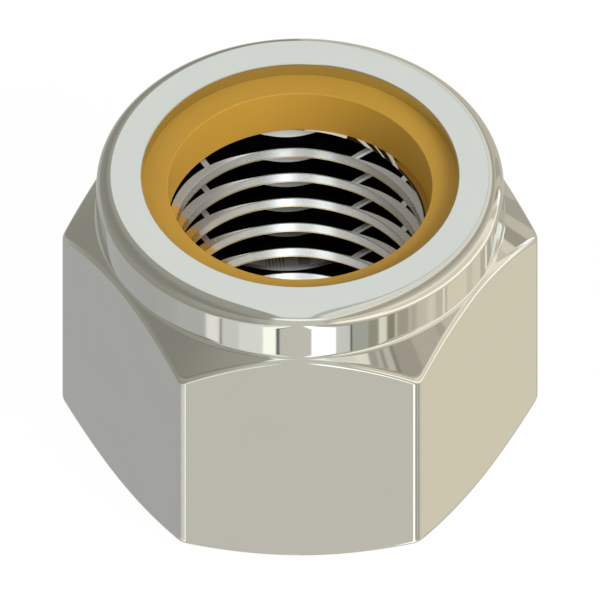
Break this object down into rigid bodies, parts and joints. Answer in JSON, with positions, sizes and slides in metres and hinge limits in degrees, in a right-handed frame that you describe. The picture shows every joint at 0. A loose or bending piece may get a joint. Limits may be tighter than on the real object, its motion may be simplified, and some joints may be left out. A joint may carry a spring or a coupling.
{
  "type": "hex lock nut",
  "caption": "Hexagonal lock nut with chamfered corners, a round collar and a rolled lip that holds an amber plastic locking ring above the thread.",
  "frame": {"origin": "centre of the bearing face, at the bottom of the nut", "axes": "Z is the thread's axis, up from the bearing face to the rolled lip. A flat faces -Y, and corners lie on the X axis."},
  "size_m": [0.0272, 0.0238, 0.0193],
  "materials": {
    "body": "bright polished, almost mirror-like flats",
    "insert": "smooth satin amber nylon"
  },
  "bodies": {
    "root": {"nut_body": "body", "locking_insert": "insert"}
  },
  "joints": []
}
